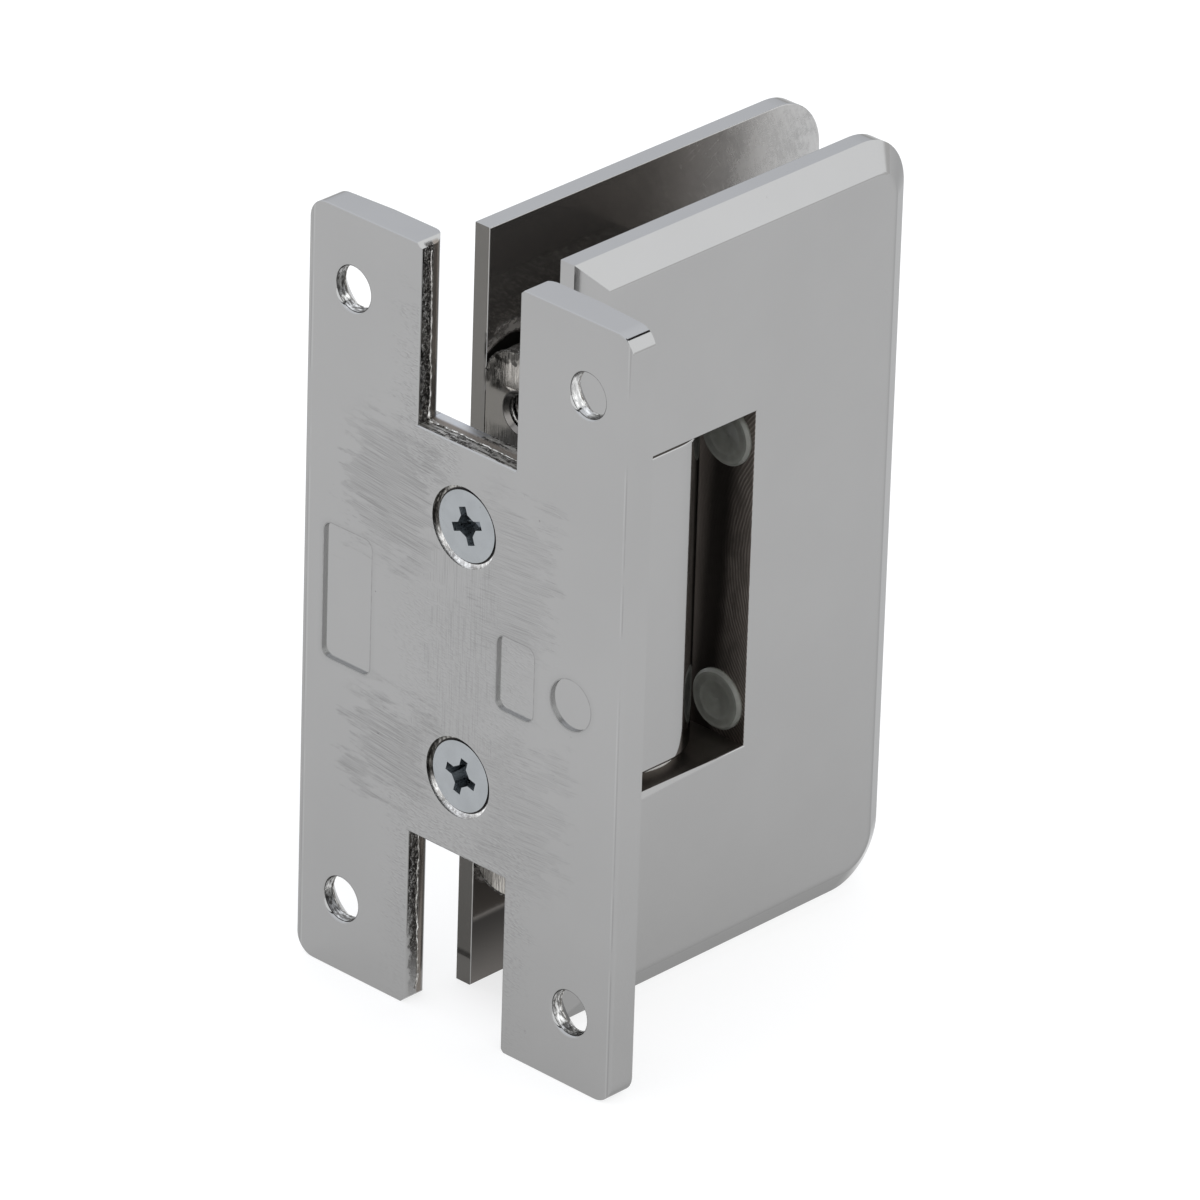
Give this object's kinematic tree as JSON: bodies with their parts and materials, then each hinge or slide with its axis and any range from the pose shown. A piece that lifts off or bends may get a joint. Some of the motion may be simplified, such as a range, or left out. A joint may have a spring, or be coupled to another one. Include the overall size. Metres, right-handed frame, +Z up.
{
  "type": "glass door hinge",
  "caption": "Wall-mounted pivot hinge for a frameless glass door: H-shaped back plate, pivot block and a two-half clamp that grips the glass edge.",
  "frame": {"origin": "centre of the wall plate's back face, where it meets the wall", "axes": "+Z up along the pivot pin, +Y away from the wall into the closed door, +X across the wall plate toward the clamp half that carries the boss"},
  "size_m": [0.0468, 0.0585, 0.09],
  "materials": {
    "plated_casting": "cast, ground and plated satin, with brighter rolled-off edges",
    "screw_steel": "plain bright steel",
    "bearing_brass": "machined",
    "washer_plastic": "moulded",
    "bumper_rubber": "soft, slightly see-through button"
  },
  "bodies": {
    "wall_side": {"wall_plate": "plated_casting", "pivot_block": "plated_casting", "block_screw_upper": "screw_steel", "block_screw_lower": "screw_steel", "pressure_pad": "bearing_brass", "spring_upper": "screw_steel", "spring_lower": "screw_steel"},
    "door_side": {"front_clamp": "plated_casting", "rear_clamp": "plated_casting", "pivot_pin": "screw_steel", "set_screw_upper": "screw_steel", "set_screw_lower": "screw_steel", "clamp_screw_1": "screw_steel", "clamp_screw_2": "screw_steel", "clamp_screw_3": "screw_steel", "clamp_screw_4": "screw_steel", "thrust_washer_upper": "washer_plastic", "thrust_washer_lower": "washer_plastic", "bumper_front_upper": "bumper_rubber", "bumper_front_lower": "bumper_rubber", "bumper_rear_upper": "bumper_rubber", "bumper_rear_lower": "bumper_rubber"}
  },
  "joints": [
    {"name": "door_swing", "type": "hinge", "parent": "wall_side", "child": "door_side", "pos_m": [0, 0.0243, 0], "axis": [0, 0, 1], "range_deg": [-90, 90]}
  ]
}
